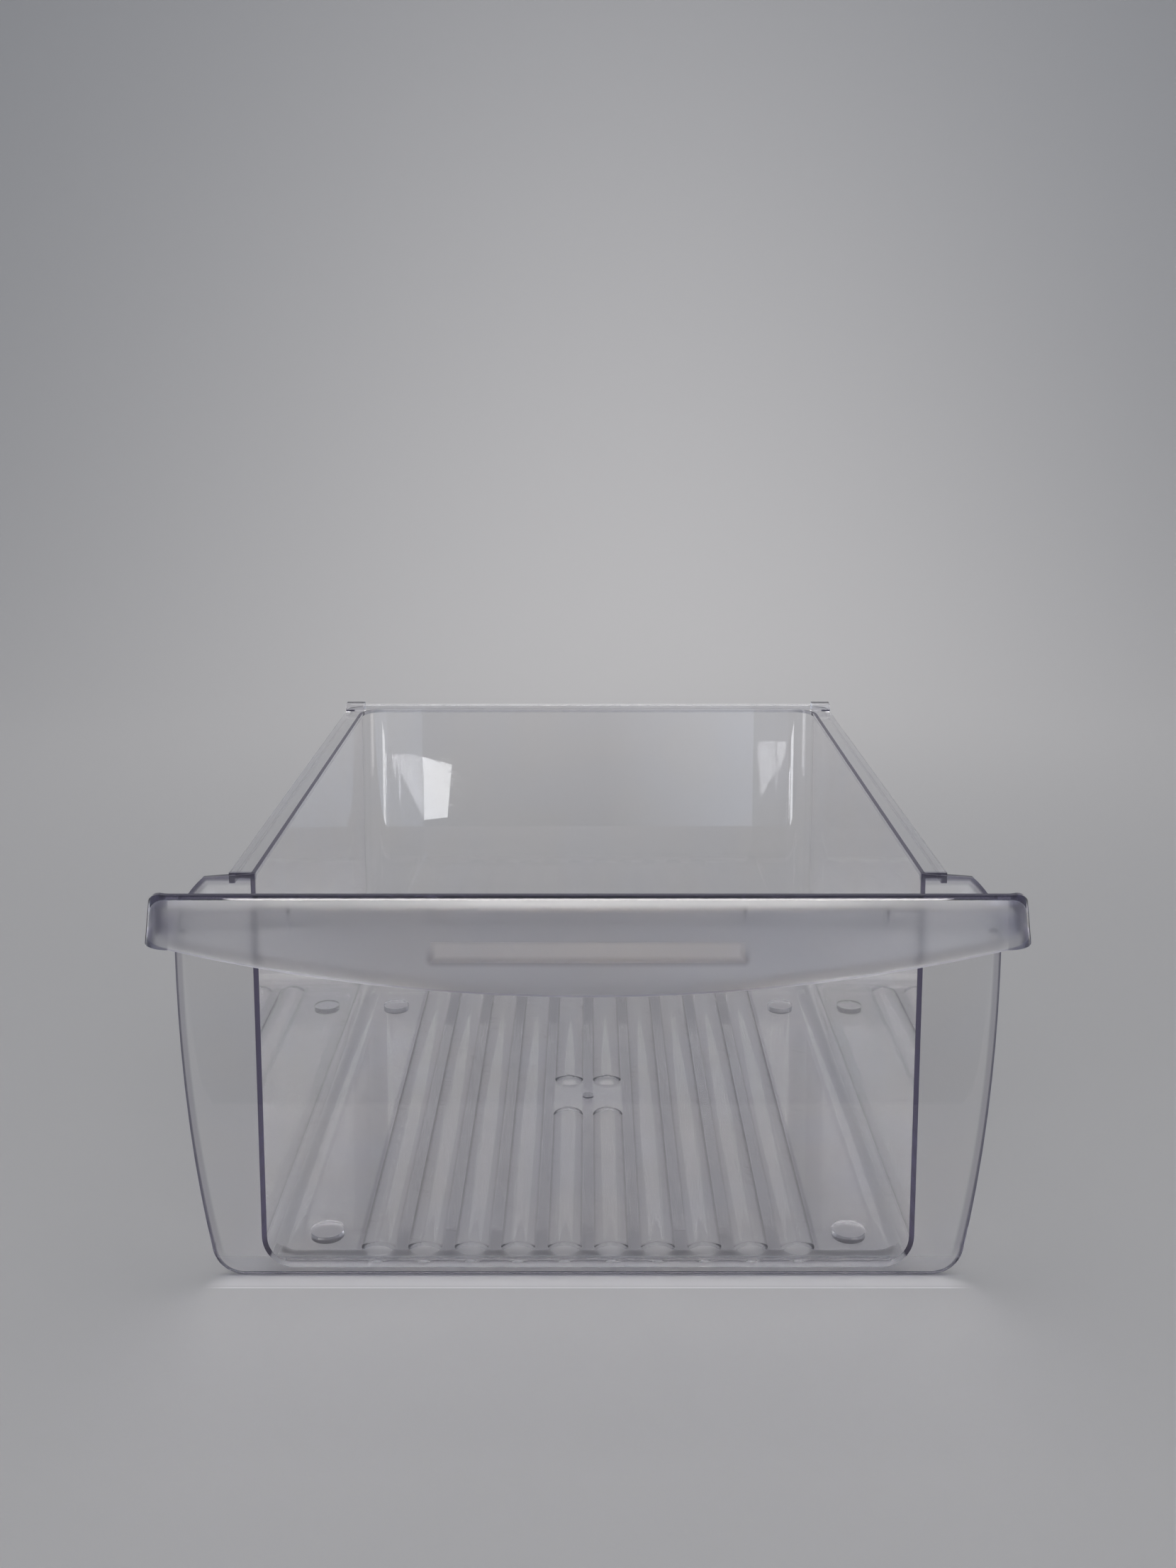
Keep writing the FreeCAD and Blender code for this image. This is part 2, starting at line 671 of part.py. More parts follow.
def make_pan():
    """The whole moulding: every form joined, then the grooves cut up under the flutes."""
    crowns = make_flutes("flute_crowns", "flute_half", "floor_top", "crown_top", "crown_foot", "crown_radius")
    grooves = make_flutes("flute_grooves", "groove_half", "foot_height", "groove_top", "groove_foot",
                          "groove_radius")
    joined = doc.addObject("Part::MultiFuse", "Joined")
    joined.Shapes = [make_tub(), make_panel(), make_rim(), make_sheet(), make_pull(), crowns]
    pan = doc.addObject("Part::Cut", "Pan")
    pan.Base = joined
    pan.Tool = grooves
    pan.Label = "crisper_pan"
    pan.Refine = True
    doc.recompute()
    return pan


def write_parts(parts):
    """Checks every object of the document, then writes each sub-part under its own name."""
    for item in doc.Objects:
        if "Invalid" in item.State or "Error" in item.State:
            raise RuntimeError(f"{item.Label} failed: {item.State}")
    os.makedirs("parts", exist_ok=True)
    for part in parts:
        shape = part.Shape
        if shape.isNull() or not shape.isValid() or len(shape.Solids) != 1:
            raise RuntimeError(f"{part.Label} is not one sound solid")
        shape.exportStep(f"parts/{part.Label}.step")
        box = shape.BoundBox
        print(f"{part.Label}: {box.XLength:.1f} x {box.YLength:.1f} x {box.ZLength:.1f} mm,"
              f" {shape.Volume / 1000:.1f} cm3")


fill_sheet()
write_parts([make_pan()])
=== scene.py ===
"""Fridge crisper drawer: a clear moulded pan with a frosted pull, on a pale sweep under soft light."""
import math

import bpy
import numpy as np
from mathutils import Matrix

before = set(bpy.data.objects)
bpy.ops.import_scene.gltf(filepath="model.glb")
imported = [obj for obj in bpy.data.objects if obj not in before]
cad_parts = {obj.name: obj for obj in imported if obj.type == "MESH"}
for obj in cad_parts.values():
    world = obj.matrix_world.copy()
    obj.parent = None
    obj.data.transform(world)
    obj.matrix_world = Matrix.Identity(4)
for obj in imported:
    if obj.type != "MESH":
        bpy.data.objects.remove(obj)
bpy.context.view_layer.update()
scene = bpy.context.scene
scene.view_settings.view_transform = "Standard"


# The pan: one moulding in clear styrene with a cool tint, which turns indigo where it is seen end-on.
# Its walls are polished, its floor is scuffed, and the outer face of the pull is etched in the mould.
# The plastic's volume also gives off a faint glow of its own, painted light that stands in for light
# scattered by haze, so a long way through it reads as dark indigo and not as black.
REFRACTION = 1.57
INNER_TINT = (0.42, 0.40, 0.62, 1.0)
TINT_DENSITY = 8.0
PLASTIC_GLOW_COLOUR = (0.46, 0.42, 0.57, 1.0)
MM_PER_METRE = 1000.0
RIPPLE_SCALE = 0.03

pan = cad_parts["crisper_pan"]
plastic = bpy.data.materials.new("clear_styrene")
plastic.use_nodes = True
tree = plastic.node_tree
shader = tree.nodes["Principled BSDF"]
shader.inputs["Transmission Weight"].default_value = 1.0
shader.inputs["IOR"].default_value = REFRACTION
absorption = tree.nodes.new("ShaderNodeVolumeAbsorption")
absorption.inputs["Color"].default_value = INNER_TINT
absorption.inputs["Density"].default_value = TINT_DENSITY
# Painted light: the plastic itself glows faintly, though it is no lamp.
painted_glow = tree.nodes.new("ShaderNodeEmission")
painted_glow.inputs["Color"].default_value = PLASTIC_GLOW_COLOUR
bulk = tree.nodes.new("ShaderNodeAddShader")
tree.links.new(absorption.outputs["Volume"], bulk.inputs[0])
tree.links.new(painted_glow.outputs["Emission"], bulk.inputs[1])
tree.links.new(bulk.outputs["Shader"], tree.nodes["Material Output"].inputs["Volume"])


def put(value, socket):
    """Sets a socket to a number, or links another socket to it."""
    if isinstance(value, (int, float)):
        socket.default_value = value
    else:
        tree.links.new(value, socket)


def calc(operation, *terms):
    """One step of arithmetic on numbers and sockets."""
    node = tree.nodes.new("ShaderNodeMath")
    node.operation = operation
    for term, socket in zip(terms, node.inputs):
        put(term, socket)
    return node.outputs[0]


def chain(operation, *terms):
    """The same step of arithmetic carried over a row of terms: their product, sum or smallest."""
    result = terms[0]
    for term in terms[1:]:
        result = calc(operation, result, term)
    return result


def hypotenuse(a, b):
    """Length of the long side over a and b."""
    return calc("SQRT", calc("ADD", calc("MULTIPLY", a, a), calc("MULTIPLY", b, b)))


def fade(value, start, finish, low=0.0, high=1.0):
    """Smooth step from low to high while the value goes from start to finish."""
    node = tree.nodes.new("ShaderNodeMapRange")
    node.interpolation_type = "SMOOTHSTEP"
    names = ("Value", "From Min", "From Max", "To Min", "To Max")
    for term, name in zip((value, start, finish, low, high), names):
        put(term, node.inputs[name])
    return node.outputs["Result"]


def off_line(value, line):
    """Distance of a value from a line, on either side."""
    return calc("ABSOLUTE", calc("SUBTRACT", value, line))


def outside_round(a, b, radius):
    """Distance outside a rounded corner: the length of the positive parts of a and b, plus the larger
    of the two where both are negative, less the radius."""
    outer = hypotenuse(calc("MAXIMUM", a, 0.0), calc("MAXIMUM", b, 0.0))
    inner = calc("MINIMUM", calc("MAXIMUM", a, b), 0.0)
    return calc("SUBTRACT", calc("ADD", outer, inner), radius)


def mix(share, first, second):
    """Colour between two colours, by share."""
    node = tree.nodes.new("ShaderNodeMix")
    node.data_type = "RGBA"
    put(share, node.inputs["Factor"])
    for colour, socket in zip((first, second), (node.inputs["A"], node.inputs["B"])):
        if isinstance(colour, tuple):
            socket.default_value = (*colour, 1.0)
        else:
            tree.links.new(colour, socket)
    return node.outputs["Result"]


coordinates = tree.nodes.new("ShaderNodeTexCoord")
scaled = tree.nodes.new("ShaderNodeVectorMath")
scaled.operation = "SCALE"
scaled.inputs["Scale"].default_value = MM_PER_METRE
tree.links.new(coordinates.outputs["Object"], scaled.inputs[0])
split = tree.nodes.new("ShaderNodeSeparateXYZ")
tree.links.new(scaled.outputs["Vector"], split.inputs["Vector"])
sideways = split.outputs["X"]
across = calc("ABSOLUTE", sideways)
depth = split.outputs["Y"]
height = split.outputs["Z"]
ripple_noise = tree.nodes.new("ShaderNodeTexNoise")
ripple_noise.inputs["Scale"].default_value = RIPPLE_SCALE
ripple_noise.inputs["Detail"].default_value = 0.0
tree.links.new(scaled.outputs["Vector"], ripple_noise.inputs["Vector"])
ripple = ripple_noise.outputs["Fac"]

# The pull's outer face: within about a millimetre of its leaning, round-cornered outline.
# A polished strip follows its lip and its rounded ends. Its colour is painted dark there as painted shade,
# for the sheet seen end-on.
# Sizes are in millimetres. Two limits say where a smooth step starts and ends, and four its values too.
PULL_TOP = 181.5
PULL_LOW = 139.2
LIP_FRONT = -187.55
LIP_HALF = 184.6
SKIRT_LEAN = math.tan(math.radians(6.0))
PLAN_CORNER = 10.0
END_CORNER = 9.0
LIP_STRIP = 2.0
LOW_LIMITS = (PULL_LOW - 0.4, PULL_LOW + 0.2)
FACE_LIMITS = (-1.4, -1.0)
LIP_LIMITS = (-3.0, -2.5)
STRIP_LIMITS = (-LIP_STRIP - 0.2, -LIP_STRIP + 0.2)

lean = calc("MULTIPLY", calc("SUBTRACT", PULL_TOP, height), SKIRT_LEAN)
past_end = calc("SUBTRACT", across, calc("ADD", lean, LIP_HALF))
past_front = calc("SUBTRACT", calc("SUBTRACT", LIP_FRONT, lean), depth)
past_top = calc("SUBTRACT", height, PULL_TOP)
face_distance = outside_round(
    calc("ADD", past_end, PLAN_CORNER), calc("ADD", past_front, PLAN_CORNER), PLAN_CORNER)
edge_distance = outside_round(
    calc("ADD", past_end, END_CORNER), calc("ADD", past_top, END_CORNER), END_CORNER)
above_low = fade(height, *LOW_LIMITS)
on_face = calc("MULTIPLY", fade(face_distance, *FACE_LIMITS), above_low)
in_strip = fade(edge_distance, *STRIP_LIMITS)
frost = calc("MULTIPLY", on_face, calc("SUBTRACT", 1.0, in_strip))
# The lip strip's mask, which the colour below paints dark as painted shade.
lip = chain("MULTIPLY", fade(face_distance, *LIP_LIMITS), above_low, in_strip)

# Form of the frosted face: a crown that rolls back under the lip, a slight flare along the curved lower
# edge, and sink marks. The rear wall leans back by about two degrees.
# Each is a slope in the YZ plane, by which the normal is turned about X.
CROWN_DEPTH = 5.6
CROWN_RADIUS = 8.0
SMILE_RADIUS = 790.0
FLARE_DEPTH = 7.0
FLARE_RADIUS = 17.0
FLARE_SPREAD = (20.0, 110.0, 0.2, 1.0)
SINK_X = 168.3
SINK_Z = 165.4
SINK_SLOPE = (3.2, 1.0, 0.0, 0.18)
REAR_INSIDE = 178.0
REAR_LEAN = (REAR_INSIDE - 10.0, REAR_INSIDE - 1.0, 0.0, 0.032)

into_crown = calc("MAXIMUM", calc("ADD", edge_distance, CROWN_DEPTH + LIP_STRIP), 0.0)
crown = calc("DIVIDE", into_crown, CROWN_RADIUS)
smile_rise = calc("DIVIDE", calc("MULTIPLY", across, across), 2.0 * SMILE_RADIUS)
above_smile = calc("SUBTRACT", calc("SUBTRACT", height, PULL_LOW), smile_rise)
into_flare = calc("MAXIMUM", calc("SUBTRACT", FLARE_DEPTH, above_smile), 0.0)
flare = calc("MULTIPLY", calc("DIVIDE", into_flare, FLARE_RADIUS), fade(across, *FLARE_SPREAD))
below_sink = calc("SUBTRACT", SINK_Z, height)
sink = fade(hypotenuse(calc("SUBTRACT", across, SINK_X), below_sink), *SINK_SLOPE)
face_slope = chain("ADD", crown, flare, calc("MULTIPLY", sink, below_sink))
slope = calc("ADD", fade(depth, *REAR_LEAN), calc("MULTIPLY", face_slope, on_face))
surface = tree.nodes.new("ShaderNodeNewGeometry")
normal = tree.nodes.new("ShaderNodeSeparateXYZ")
tree.links.new(surface.outputs["Normal"], normal.inputs["Vector"])
leaning = tree.nodes.new("ShaderNodeCombineXYZ")
tree.links.new(normal.outputs["X"], leaning.inputs["X"])
tree.links.new(normal.outputs["Y"], leaning.inputs["Y"])
turned_z = calc("SUBTRACT", normal.outputs["Z"], calc("MULTIPLY", normal.outputs["Y"], slope))
put(turned_z, leaning.inputs["Z"])
turned = tree.nodes.new("ShaderNodeVectorMath")
turned.operation = "NORMALIZE"
tree.links.new(leaning.outputs["Vector"], turned.inputs[0])
tree.links.new(turned.outputs["Vector"], shader.inputs["Normal"])

# Wear: fine straight scratches, closer together on the floor and low on the walls, and scuffs there.
# A scratch is the core of a random cell, stretched along a slanting line.
# The front edge of the floor, behind the panel's foot, is left matt.
SCRATCH_LONG = 26.0
SCRATCH_APART = 1.6
SCRATCH_TURN = 0.55
SCRATCH_RISE = 0.7
SCRATCH_SLANT = 0.3
SCRATCH_CORE = (0.17, 0.06)
SCRATCH_PATCH = (0.5, 0.62, 0.0, 0.5)
SCUFF_PATCH = (0.4, 0.65)
LOW_DOWN = (40.0, 8.0)
POLISH_ROUGHNESS = 0.005
SCUFF_ROUGHNESS = 0.05
SCRATCH_ROUGHNESS = 0.16
ETCH_ROUGHNESS = 0.30
ETCH_RIPPLE = 0.1
PANEL_FACE = -165.0
PANEL_SKIN = 0.5
FOOT_TOP = (9.0, 7.0)
FOOT_BACK = (-150.0, -156.0)
FOOT_ROUGHNESS = 0.85

along_scratch = calc("ADD", sideways, calc("MULTIPLY", depth, SCRATCH_TURN))
off_scratch = chain("ADD", height, calc("MULTIPLY", depth, SCRATCH_RISE),
                    calc("MULTIPLY", sideways, SCRATCH_SLANT))
scratch_place = tree.nodes.new("ShaderNodeCombineXYZ")
put(calc("DIVIDE", along_scratch, SCRATCH_LONG), scratch_place.inputs["X"])
put(calc("DIVIDE", off_scratch, SCRATCH_APART), scratch_place.inputs["Y"])
cells = tree.nodes.new("ShaderNodeTexVoronoi")
cells.voronoi_dimensions = "2D"
cells.inputs["Scale"].default_value = 1.0
tree.links.new(scratch_place.outputs["Vector"], cells.inputs["Vector"])
low_down = fade(height, *LOW_DOWN)
worn = calc("MAXIMUM", fade(ripple, *SCRATCH_PATCH), low_down)
scratches = calc("MULTIPLY", fade(cells.outputs["Distance"], *SCRATCH_CORE), worn)
scuffs = calc("MULTIPLY", fade(ripple, *SCUFF_PATCH), low_down)
polish = chain("ADD", POLISH_ROUGHNESS, calc("MULTIPLY", scuffs, SCUFF_ROUGHNESS),
               calc("MULTIPLY", scratches, SCRATCH_ROUGHNESS))
etch = calc("ADD", ETCH_ROUGHNESS, calc("MULTIPLY", ripple, ETCH_RIPPLE))
matt_foot = chain("MULTIPLY", fade(height, *FOOT_TOP), fade(depth, *FOOT_BACK),
                  calc("GREATER_THAN", depth, PANEL_FACE + PANEL_SKIN))
roughness = tree.nodes.new("ShaderNodeMix")
put(frost, roughness.inputs["Factor"])
put(calc("MAXIMUM", polish, calc("MULTIPLY", matt_foot, FOOT_ROUGHNESS)), roughness.inputs["A"])
put(etch, roughness.inputs["B"])
put(roughness.outputs["Result"], shader.inputs["Roughness"])

# Edges: along the panel's rim the sheet is seen end-on, and its outline is painted in the colour as a dark
# line (painted shade).
# The line is thin along the foot, wider up the bowed sides and widest over the shoulders.
# A fainter band of painted shade lies inside it, up the sides and over the shoulders.
PANEL_HALF = 179.9
PANEL_FLAT = 164.0
WIDEST_Z = 150.0
SIDE_BOW = 680.0
SHOULDER_ROUND = 42.0
PANEL_TOP = 182.3
FOOT_CORNER = 14.0
FOOT_CORNER_X = 152.0
FOOT_CORNER_Z = 14.8
NO_EDGE = 999.0
SIDE_LINE = (1.0, 14.0, 0.5, 1.9)
SHOULDER_LINE = (152.0, 172.0, 0.0, 1.2)
LINE_LIMITS = (1.0, 0.4)
BAND_LIMITS = (4.6, 3.2)
BAND_FOOT = (4.0, 16.0)
BAND_SHARE = 0.32
SWEEP_BACK = (PANEL_FLAT, PANEL_HALF, 3.2, 13.5)

side_edge = calc("SUBTRACT", SIDE_BOW, hypotenuse(
    calc("ADD", across, SIDE_BOW - PANEL_HALF), calc("SUBTRACT", height, WIDEST_Z)))
shoulder_edge = calc("SUBTRACT", SHOULDER_ROUND, hypotenuse(
    calc("MAXIMUM", calc("SUBTRACT", across, PANEL_HALF - SHOULDER_ROUND), 0.0),
    calc("MAXIMUM", calc("SUBTRACT", height, WIDEST_Z), 0.0)))
foot_round = calc("SUBTRACT", FOOT_CORNER, hypotenuse(
    calc("MAXIMUM", calc("SUBTRACT", across, FOOT_CORNER_X), 0.0),
    calc("SUBTRACT", FOOT_CORNER_Z, height)))
above_foot = calc("MULTIPLY", calc("GREATER_THAN", height, FOOT_CORNER_Z), NO_EDGE)
foot_edge = calc("ADD", foot_round, above_foot)
top_edge = calc("SUBTRACT", PANEL_TOP, height)
rim_distance = chain("MINIMUM", side_edge, shoulder_edge, foot_edge, top_edge)
line_width = calc("ADD", fade(height, *SIDE_LINE), fade(height, *SHOULDER_LINE))
rim_line = fade(calc("DIVIDE", rim_distance, line_width), *LINE_LIMITS)
rim_band = calc("MULTIPLY", fade(rim_distance, *BAND_LIMITS), fade(height, *BAND_FOOT))
panel_rear = calc("ADD", fade(across, *SWEEP_BACK), PANEL_FACE)
on_panel = calc("MULTIPLY", calc("LESS_THAN", depth, panel_rear),
                calc("GREATER_THAN", depth, PANEL_FACE - PANEL_SKIN))
rim = calc("MULTIPLY", calc("MAXIMUM", rim_line, calc("MULTIPLY", rim_band, BAND_SHARE)), on_panel)

# Colour: nearly clear, with a dark gate mark. The frost is greyer, partly its own tint and partly painted
# shade, and the gaps between the flutes are greyed as painted shade. On the frosted face the finger bar is
# lightened as a painted highlight, with painted shadow around its lower half, and painted shade lies
# inside the pull's ends and along its curved lower edge.
# Each tint below lies over the ones before it.
BAR_HALF = 65.5
BAR_LOW = 154.0
BAR_TALL = 8.0
BAR_CORNER = 1.0
BAR_MIDDLE = BAR_LOW + BAR_TALL / 2
BAR_ENDS = (BAR_HALF, BAR_HALF - 3.0)
BAR_FOOT = (BAR_LOW, BAR_LOW + 3.0)
BAR_HEAD = (BAR_LOW + BAR_TALL + 0.5, BAR_LOW + BAR_TALL - 1.5)
BAR_SHADOW_LIMITS = (3.0, 0.2)
BAR_SHADOW_RISE = (BAR_LOW + 7.0, BAR_LOW)
BAR_SHADOW_SHARE = 0.8
END_INSET = -11.0
END_MIDDLE = 169.0
END_WIDE = (6.5, 0.5)
END_TALL = (9.0, 2.0)
END_SHARE = 0.7
SMILE_LIMITS = (1.2, 0.5)
SMILE_SHARE = 0.9
RIM_SHARE = 0.9
FLUTE_PITCH = 21.0
FLUTE_SIDE = (7.0, 8.6)
FLUTE_END = (158.5, 154.5)
FLUTES_SIDE = (105.0, 103.5)
FLOOR_LIMITS = (11.0, 8.5)
GATE_Y = 2.1
GATE_LIMITS = (3.3, 2.3)
TINT_PATCH = (0.3, 0.7)
COOL_CLEAR = (0.945, 0.944, 0.955)
WARM_CLEAR = (0.955, 0.947, 0.944)
FLUTE_GAP_PAINTED_SHADE = (0.82, 0.815, 0.835)
GATE_TINT = (0.55, 0.54, 0.58)
FROST_TINT_AND_SHADE = (0.53, 0.528, 0.565)
BAR_PAINTED_HIGHLIGHT = (0.665, 0.657, 0.69)
BAR_SHADOW_PAINT = (0.20, 0.19, 0.22)
END_PAINTED_SHADE = (0.24, 0.23, 0.33)
SMILE_PAINTED_SHADE = (0.22, 0.21, 0.28)
RIM_PAINTED_SHADE = (0.20, 0.19, 0.27)
LIP_PAINTED_SHADE = (0.09, 0.08, 0.15)

bar_outline = outside_round(
    calc("SUBTRACT", across, BAR_HALF - BAR_CORNER),
    calc("SUBTRACT", off_line(height, BAR_MIDDLE), BAR_TALL / 2 - BAR_CORNER), BAR_CORNER)
# Painted shadow around the finger bar's lower half and its ends.
bar_shadow = calc("MULTIPLY", fade(calc("ABSOLUTE", bar_outline), *BAR_SHADOW_LIMITS), fade(height, *BAR_SHADOW_RISE))
# The finger bar, lightened in the colour as a painted highlight.
on_bar = chain("MULTIPLY", fade(across, *BAR_ENDS), fade(height, *BAR_FOOT), fade(height, *BAR_HEAD))
# Painted shade inside each of the pull's ends.
end_shade = calc("MULTIPLY", fade(off_line(past_end, END_INSET), *END_WIDE),
                 fade(off_line(height, END_MIDDLE), *END_TALL))
# Painted shade: a dark line along the curved lower edge of the frosted face.
smile_line = calc("MULTIPLY", fade(above_smile, *SMILE_LIMITS), on_face)
from_flute = off_line(calc("MODULO", across, FLUTE_PITCH), FLUTE_PITCH / 2)
on_floor = calc("MULTIPLY", fade(height, *FLOOR_LIMITS), fade(across, *FLUTES_SIDE))
# Gaps between the flutes, greyed in the colour as painted shade.
flute_gap = chain("MULTIPLY", fade(from_flute, *FLUTE_SIDE), on_floor,
                  fade(off_line(depth, GATE_Y), *FLUTE_END))
from_gate = hypotenuse(across, calc("SUBTRACT", depth, GATE_Y))
gate = calc("MULTIPLY", fade(from_gate, *GATE_LIMITS), on_floor)

tint = mix(fade(ripple, *TINT_PATCH), COOL_CLEAR, WARM_CLEAR)
for share, over in (
        (flute_gap, FLUTE_GAP_PAINTED_SHADE),
        (gate, GATE_TINT),
        (frost, FROST_TINT_AND_SHADE),
        (calc("MULTIPLY", on_bar, frost), BAR_PAINTED_HIGHLIGHT),
        (chain("MULTIPLY", bar_shadow, frost, BAR_SHADOW_SHARE), BAR_SHADOW_PAINT),
        (chain("MULTIPLY", end_shade, frost, END_SHARE), END_PAINTED_SHADE),
        (calc("MULTIPLY", smile_line, SMILE_SHARE), SMILE_PAINTED_SHADE),
        (calc("MULTIPLY", rim, RIM_SHARE), RIM_PAINTED_SHADE),
        (lip, LIP_PAINTED_SHADE)):
    tint = mix(share, tint, over)
tree.links.new(tint, shader.inputs["Base Color"])

pan.data.materials.clear()
pan.data.materials.append(plastic)


# The stage, in metres: a pale paper sweep that lies flat under the pan and turns up behind it.
# Reflections see it only as far as the table's front edge, and the room beyond that.
# The light that the panel's foot guides down is painted into the paper's colour as a pale strip with a
# bright line (painted light).
FLOOR_LEVEL = -0.0002
TABLE_EDGE = -0.332
SWEEP_WIDTH = 6.0
SWEEP_TURN = 1.1
SWEEP_ROUND = 1.2
SWEEP_TOP = 3.0
SWEEP_STEPS = 25
APRON_FRONT = -4.0
PAPER_COLOUR = (0.46, 0.455, 0.46)
PAPER_ROUGHNESS = 0.9
ANY_REFLECTIONS = 99
STRIP_ENDS = (0.170, 0.155)
STRIP_FRONT = (-0.1745, -0.172)
STRIP_REAR = (-0.163, -0.165)
PAINTED_LIGHT_COLOUR = (0.60, 0.59, 0.60)
BRIGHT_LINE_Y = -0.1742
BRIGHT_LINE = (0.0008, 0.0002)
PAINTED_LINE_COLOUR = (0.68, 0.67, 0.68)


def stage_mesh(name, points, faces, material):
    """Mesh of the stage, from its points and faces."""
    mesh = bpy.data.meshes.new(name)
    mesh.from_pydata(np.asarray(points, float).tolist(), [], np.asarray(faces).tolist())
    mesh.shade_smooth()
    mesh.materials.append(material)
    sheet = bpy.data.objects.new(name, mesh)
    scene.collection.objects.link(sheet)
    return sheet


def sweep_sheet(name, profile, material):
    """Sheet ruled across X: each point (y, z) of the profile becomes a line from one side to the other."""
    y, z = np.array(profile, float).T
    half = SWEEP_WIDTH / 2
    left = np.stack([np.full_like(y, -half), y, z], 1)
    right = np.stack([np.full_like(y, half), y, z], 1)
    count = len(y)
    first = np.arange(count - 1)
    faces = np.stack([first, first + count, first + count + 1, first + 1], 1)
    return stage_mesh(name, np.concatenate([left, right]), faces, material)


def only_after_reflection(material, shown, hidden, most):
    """Shows one shader to rays reflected from once to so many times, and another to all others."""
    own = material.node_tree
    path = own.nodes.new("ShaderNodeLightPath")
    reflected = own.nodes.new("ShaderNodeMath")
    reflected.operation = "COMPARE"
    reflected.inputs[1].default_value = (1 + most) / 2
    reflected.inputs[2].default_value = most / 2
    own.links.new(path.outputs["Glossy Depth"], reflected.inputs[0])
    choice = own.nodes.new("ShaderNodeMixShader")
    own.links.new(reflected.outputs[0], choice.inputs["Fac"])
    own.links.new(hidden.outputs["BSDF"], choice.inputs[1])
    own.links.new(shown.outputs[0], choice.inputs[2])
    own.links.new(choice.outputs["Shader"], own.nodes["Material Output"].inputs["Surface"])


paper = bpy.data.materials.new("sweep_paper")
apron_paper = bpy.data.materials.new("apron_paper")
for sheet_material in (paper, apron_paper):
    sheet_material.use_nodes = True
    sheet_shader = sheet_material.node_tree.nodes["Principled BSDF"]
    sheet_shader.inputs["Base Color"].default_value = (*PAPER_COLOUR, 1.0)
    sheet_shader.inputs["Roughness"].default_value = PAPER_ROUGHNESS
see_through = apron_paper.node_tree.nodes.new("ShaderNodeBsdfTransparent")
apron_shader = apron_paper.node_tree.nodes["Principled BSDF"]
only_after_reflection(apron_paper, see_through, apron_shader, most=ANY_REFLECTIONS)

# From here on, the helpers above add their nodes to the paper.
tree = paper.node_tree
paper_place = tree.nodes.new("ShaderNodeTexCoord")
paper_split = tree.nodes.new("ShaderNodeSeparateXYZ")
tree.links.new(paper_place.outputs["Object"], paper_split.inputs["Vector"])
paper_depth = paper_split.outputs["Y"]
# Painted light: a pale strip and a bright line on the paper in front of the panel's foot.
strip_ends = fade(calc("ABSOLUTE", paper_split.outputs["X"]), *STRIP_ENDS)
strip = chain("MULTIPLY", fade(paper_depth, *STRIP_FRONT), fade(paper_depth, *STRIP_REAR), strip_ends)
bright_line = calc("MULTIPLY", fade(off_line(paper_depth, BRIGHT_LINE_Y), *BRIGHT_LINE), strip_ends)
paper_with_painted_light = mix(bright_line, mix(strip, PAPER_COLOUR, PAINTED_LIGHT_COLOUR), PAINTED_LINE_COLOUR)
tree.links.new(paper_with_painted_light, tree.nodes["Principled BSDF"].inputs["Base Color"])

turn = np.linspace(0.0, math.pi / 2, SWEEP_STEPS)
bend_y = SWEEP_TURN + SWEEP_ROUND * np.sin(turn)
bend_z = FLOOR_LEVEL + SWEEP_ROUND * (1 - np.cos(turn))
sweep_profile = [(TABLE_EDGE, FLOOR_LEVEL), *zip(bend_y, bend_z), (SWEEP_TURN + SWEEP_ROUND, SWEEP_TOP)]
sweep_sheet("paper_sweep", sweep_profile, paper)
sweep_sheet("paper_apron", [(APRON_FRONT, FLOOR_LEVEL), (TABLE_EDGE, FLOOR_LEVEL)], apron_paper)


# Light: soft boxes overhead, in front and on the backdrop, in a room that is even above the table.
# Below the table only reflections see the room, which is dark on the left and bright on the right.
# Bright cards stand for windows and lamps, and show only where a polished surface mirrors them once.
ROOM_LEFT = (0.42, (0.22, 0.24, 0.27, 1.0))
ROOM_MIDDLE = (0.51, (0.12, 0.12, 0.13, 1.0))
ROOM_RIGHT = (0.60, (1.0, 1.12, 1.3, 1.0))
ROOM_CENTRE = 0.5
ROOM_BELOW = (0.21, 0.22, 0.24)
BELOW_LIMITS = (-0.32, -0.24)
ROOM_ABOVE = (0.405, 0.43, 0.47)
ABOVE_REACH = 0.08
ROOM_STRENGTH = 0.9
PANE_Y = -4.0
PANE_COLOUR = (0.95, 0.98, 1.0)
PANES = [
    # the left window, its inner and its outer part
    (5.2, [(-0.543, -0.535), (-0.449, -0.560), (-0.464, -0.736), (-0.542, -0.745)]),
    (12.0, [(-0.647, -0.527), (-0.590, -0.525), (-0.543, -0.535), (-0.546, -0.740)]),
    # a wide pane at each side, which the rounded rear corners draw out to a bright line
    (4.5, [(-1.5, -0.45), (-0.8, -0.45), (-0.8, -1.0), (-1.5, -1.0)]),
    (4.5, [(0.8, -0.45), (1.5, -0.45), (1.5, -1.0), (0.8, -1.0)]),
    # the right window
    (12.0, [(0.560, -0.489), (0.579, -0.482), (0.676, -0.484), (0.572, -0.671)]),
]
CEILING_HALF = 0.45
CEILING_NEAR = -0.75
CEILING_FAR = -2.2
CEILING_HEIGHT = 1.37
LAMP_LEFT = -0.005
LAMP_RIGHT = 0.115
LAMP_Y = -2.2
LAMP_LOW = 0.5
LAMP_HIGH = 1.0
SIDE_X = 0.55
SIDE_HALF = 0.10
SIDE_TALL = 0.22
BOUNCES = 11
DIFFUSE_BOUNCES = 2
CLEAR_BOUNCES = 8

